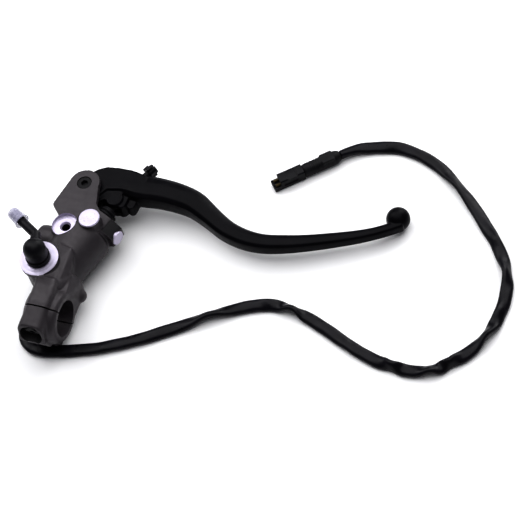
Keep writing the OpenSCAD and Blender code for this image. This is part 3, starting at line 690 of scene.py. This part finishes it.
STATIONS = [(12, 99, -3.6, 17, 14.4), (24, 98.6, -4, 20.5, 15.4), (36, 99.4, -4.8, 19.4, 15.4),
            (48, 99, -5.8, 18.4, 15), (59, 96.8, -6.7, 16.8, 14.4), (71, 90.8, -7.7, 14, 13),
            (83, 84.6, -8.6, 13, 12.2), (95, 81.5, -9.4, 12.4, 11.8), (107, 81.4, -10.2, 11.6, 11.2),
            (120, 84.4, -11, 11, 10.4), (133, 88.7, -11.8, 9.9, 9.6), (146, 93.8, -12.5, 8.9, 9),
            (159, 99.4, -13.2, 7.8, 8.4), (169, 104.5, -13.7, 7, 8), (177, 109.6, -14.1, 6.8, 8),
            (184, 114.6, -14.3, 6.8, 8)]
ROUND = [(-0.94, -0.3), (-0.88, -0.62), (-0.62, -0.95), (-0.2, -0.99), (0.2, -0.97), (0.55, -0.87),
         (0.8, -0.66), (0.95, -0.36), (0.98, 0), (0.95, 0.36), (0.8, 0.66), (0.55, 0.87), (0.2, 0.97),
         (-0.2, 0.99), (-0.62, 0.97), (-0.9, 0.72), (-0.94, 0.3)]


def blend_numbers(rows, per):
    rows = np.array(rows, float)
    out = []
    last = len(rows) - 1
    for i in range(last):
        a, b, c, d = rows[max(i - 1, 0)], rows[i], rows[i + 1], rows[min(i + 2, last)]
        for k in range(per):
            t = k / per
            out.append(0.5 * (2 * b + (c - a) * t + (2 * a - 5 * b + 4 * c - d) * t * t
                              + (3 * b - a - 3 * c + d) * t ** 3))
    out.append(rows[-1])
    return np.array(out)


def plunger_groove():
    """Arc in the root's underside that the switch's plunger runs in."""
    away = PLUNGER - PIVOT
    start = math.degrees(math.atan2(away.y, away.x))
    turn = [math.radians(start - 12 + 3 * i) for i in range(14)]
    arc = [(r, a) for r, order in ((away.length - 1.5, turn), (away.length + 1.5, turn[::-1])) for a in order]
    outline = [(PIVOT.x + r * math.cos(a), PIVOT.y + r * math.sin(a)) for r, a in arc]
    return Stack().prism(outline, -20, -8.4).object("cutter", LEVER_BLACK, False)


def lever():
    s = Stack()
    rows = blend_numbers(STATIONS, 8)
    rings = []
    for i, (x, y, z, depth, height) in enumerate(rows):
        a, b = rows[max(i - 1, 0)], rows[min(i + 1, len(rows) - 1)]
        ahead = Vector((b[0] - a[0], b[1] - a[1], 0)).normalized()
        side = Vector((-ahead.y, ahead.x, 0))
        middle = Vector((x, y, z))
        rings.append([middle + side * depth / 2 * p + Vector((0, 0, height / 2 * q)) for p, q in ROUND])
    s.loft(rings)
    s.ball((180.5, 118.3, TABLE + 7.4), 7.35, rings=32)
    low, high = -10.5, 3.5
    arc = arc_points(PIVOT, 9, range(118, 286, 7))
    root = arc + [(0.5, 84.0), (4.5, 90.6), (13, 92.4), (20, 92.6), (26, 92), (26, 105), (18, 107),
                  (14, 107.2), (6, 107.2), (-1, 106.4), (-6, 103.6)]
    s.prism(root, low, high)
    pin = BARREL @ Vector((0, PIN_V, 0))
    lobe = arc_points(pin, 5.4, range(-150, 60, 10))
    s.prism([(PIVOT.x + 1, PIVOT.y - 8.8), (pin.x - 9.4, pin.y - 4.8), (pin.x - 6, pin.y - 2.4)] + lobe
            + [(pin.x + 5, pin.y + 8), (PIVOT.x, PIVOT.y + 4)], low, 2.0)
    s.hull(disc_points(15.6, 84.2, 3.2, low, 0.4) + disc_points(15.6, 92, 3.6, low, 0.4))
    s.hull(disc_points(21.4, 85.2, 2.5, low + 0.5, -1.6) + disc_points(21.8, 92, 2.8, low + 0.5, -1.6))
    lever_ = fuse(s.object("lever_forging"), 0.42, LEVER_BLACK)
    soften(lever_, 7)
    cutters = [
        rod(4.05, -30, 20, AT_PIVOT, LEVER_BLACK, 64),
        rod(4.05, -30, 20, Matrix.Translation((pin.x, pin.y, 0)), LEVER_BLACK, 64),
        slab((-7, 7), (5, PIN_V + 7.5), (-2.8, 2.8), BARREL, LEVER_BLACK),
        rod(3.5, 3, 12.2, ADJUSTER, LEVER_BLACK, 48),
        rod(2.3, 3, 34, ADJUSTER, LEVER_BLACK, 40),
        plunger_groove(),
    ]
    cut(lever_, cutters)
    crisp(lever_, 50)
    place(lever_, "lever", "lever_black", "lever_blade")


lever()


# ---------------------------------------------------------------- knob, boot, elbow, transit cap

def knob():
    at = ADJUSTER @ Matrix.Translation((0, 0, 27.4))
    s = Stack()
    s.lathe([(0, 0), (3.2, 0), (3.2, 5.6), (0, 5.6)], at, 48)
    for a in range(0, 360, 90):
        s.prism([(0, -1.1), (4.6, -1.1), (4.6, 1.1), (0, 1.1)], 0, 4,
                at @ Matrix.Rotation(math.radians(a), 4, "Z"))
    k = fuse(s.object("reach_knob"), 0.16, BLACK_PLASTIC)
    soften(k, 8)
    cut(k, [rod(2.22, -2, 2.05, at, BLACK_PLASTIC, 32),
            slab((-0.6, 0.6), (-10, 10), (4.7, 8), at, BLACK_PLASTIC)])
    crisp(k, 45)
    place(k, "adjuster", "black_plastic", "adjuster_knob")


def bellows():
    outer = [(9.3, 7.0), (9.3, 9.9), (7.3, 10.1), (6.5, 10.6), (5.95, 11.3), (6.3, 11.9), (6.95, 12.3),
             (6.95, 12.8), (6.1, 13.3), (5.85, 13.7), (6.2, 14.2), (6.75, 14.6), (6.5, 15.1),
             (5.4, 15.7), (4.8, 16.4), (4.6, 18.0)]
    inner = [(2.75, 18.0), (2.75, 16.2), (4.0, 15.3), (5.0, 14.4), (4.9, 13.4), (5.3, 12.5),
             (4.9, 11.4), (5.6, 10.2), (7.2, 7.0)]
    b = Stack().lathe(outer + inner, ON_BARREL, 72).object("barrel_boot", RUBBER)
    smooth = b.modifiers.new("round", "SUBSURF")
    smooth.levels = smooth.render_levels = 1
    apply_all(b)
    b.data.shade_smooth()
    place(b, "perch", "black_rubber", "dust_boot")
    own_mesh(b)


def spring():
    """Return spring between the bore's end and the piston."""
    turns, per, wire, coil = 6.5, 28, 0.58, 6.38
    low, high = -36.3, -22.7
    points = []
    for i in range(int(turns * per) + 1):
        t = i / (turns * per)
        rise = min(1.0, max(0.0, (t * turns - 0.8) / (turns - 1.6)))
        a = 2 * math.pi * t * turns
        points.append(Vector((coil * math.cos(a), coil * math.sin(a), low + (high - low) * rise)))
    rings = []
    for i, p in enumerate(points):
        ahead = (points[min(i + 1, len(points) - 1)] - points[max(i - 1, 0)]).normalized()
        out = Vector((p.x, p.y, 0)).normalized()
        side = ahead.cross(out)
        rings.append([p + wire * (out * math.cos(math.pi * k / 5) + side * math.sin(math.pi * k / 5))
                      for k in range(10)])
    coil_ = Stack().loft(rings, ON_BARREL).object("return_spring", STEEL)
    place(coil_, "perch", "steel", "piston_spring")
    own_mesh(coil_)


ROOT_TURN, SPOUT_TURN = math.radians(107), math.radians(149.5)
CORNER = Vector((PORT.x + 10.1 * math.cos(ROOT_TURN), PORT.y + 10.1 * math.sin(ROOT_TURN), 28))
SPOUT = Matrix.Translation(CORNER) @ Matrix.Rotation(SPOUT_TURN, 4, "Z") @ ALONG_X
ROOT = Matrix.Translation((PORT.x, PORT.y, 28)) @ Matrix.Rotation(ROOT_TURN, 4, "Z") @ ALONG_X


def elbow():
    s = Stack()
    dome = [(6.8 * math.cos(math.radians(a)), 28 + 6.75 * math.sin(math.radians(a))) for a in range(0, 90, 9)]
    s.lathe([(0, 10), (4.95, 10), (4.95, 13), (3.6, 13), (3.6, 15), (4.95, 15), (4.95, 18.1),
             (7.3, 18.1), (7.3, 20.3), (6.1, 20.3), (6.1, 21.5), (6.8, 21.5)] + dome + [(0, 34.75)],
            AT_PORT, 80)
    s.lathe([(0, 0), (4.4, 0), (3.4, 6), (2.85, 10.1), (0, 10.1)], ROOT, 48)
    s.ball(CORNER, 2.9)
    s.lathe([(0, 0), (2.8, 0), (2.8, 15.4), (3.15, 16.8), (2.75, 17.1), (2.75, 18), (3.15, 19.4),
             (2.75, 19.7), (2.75, 22), (0, 22)],
            SPOUT, 48)
    e = fuse(s.object("elbow_moulding"), 0.24, BLACK_PLASTIC)
    soften(e, 5)
    cut(e, [rod(1.6, 2, 30, SPOUT, BLACK_PLASTIC, 32), rod(2.6, 5, 26, AT_PORT, BLACK_PLASTIC, 40)])
    crisp(e, 45)
    place(e, "elbow", "black_plastic", "reservoir_elbow")


def transit_cap():
    c = Stack().lathe([(4.8, 13.5), (4.8, 14.1), (4.45, 14.6), (4.22, 15.2), (3.95, 20), (3.75, 23.1),
                       (3.45, 23.7), (2.9, 23.88), (0.6, 23.9), (0.6, 22.9), (2.9, 22.9), (3.25, 22.4),
                       (3.3, 14.4), (3.7, 13.5)],
                      SPOUT, 64).object("transit_cap", MILKY)
    smooth = c.modifiers.new("round", "SUBSURF")
    smooth.levels = smooth.render_levels = 1
    apply_all(c)
    c.data.shade_smooth()
    place(c, "spout_cap", "clear_plastic", "spout_cap")


knob()
bellows()
spring()
elbow()
transit_cap()


# ---------------------------------------------------------------- finishes on the CAD nodes that stay

FINISHES = {
    BADGE_FACE: ["badge_disc"],
    MACHINED: ["passage_plug", "piston"],
        STEEL: ["stop_washer", "circlip", "detent_ball", "detent_spring", "pivot_nut", "switch_plunger",
                "switch_screws"],
    BLACK_STEEL: ["clamp_screws", "pivot_screw", "pushrod", "adjuster_spindle", "elbow_retaining_ring"],
    LEVER_BLACK: ["barrel_nut"],
    BRONZE: ["pivot_bush"],
    BRASS_WITH_PAINTED_SHADE: ["connector_terminals"],
    BLACK_PLASTIC: ["brake_light_switch"],
    RUBBER: ["elbow_o_ring", "primary_seal", "secondary_seal", "cable_collar"],
}
for mat, names in FINISHES.items():
    for name in names:
        node = NODES[name]
        node.data.materials.clear()
        node.data.materials.append(mat)


# ---------------------------------------------------------------- floor and light

def studio():
    floor_mat = material("floor", (0.93, 0.93, 0.94), 0.75, 0.0, tone=0.01, tone_scale=3, grain=0.02)
    size = 3000
    floor = mesh_object("floor", [(-size, -size, TABLE - 0.05), (size, -size, TABLE - 0.05),
                                  (size, size, TABLE - 0.05),
                                  (-size, size, TABLE - 0.05)], [[0, 1, 2, 3]], floor_mat, False)
    world = bpy.data.worlds.new("studio")
    world.use_nodes = True
    world.node_tree.nodes["Background"].inputs["Color"].default_value = (0.96, 0.96, 1, 1)
    world.node_tree.nodes["Background"].inputs["Strength"].default_value = 0.16
    SCENE.world = world
    SCENE.view_settings.view_transform = "Standard"
    SCENE.view_settings.look = "High Contrast"
    SCENE.view_settings.exposure = 0.25
    area("overhead", (0.05, 0.35, 1.25), (0.09, 0.06, 0), 1.8, 12)
    area("left_key", (-1.0, 0.35, 0.95), (0.05, 0.05, 0), 1.1, 5)
    area("rear", (0.4, 1.2, 0.6), (0.1, 0.06, 0), 0.9, 5)


studio()
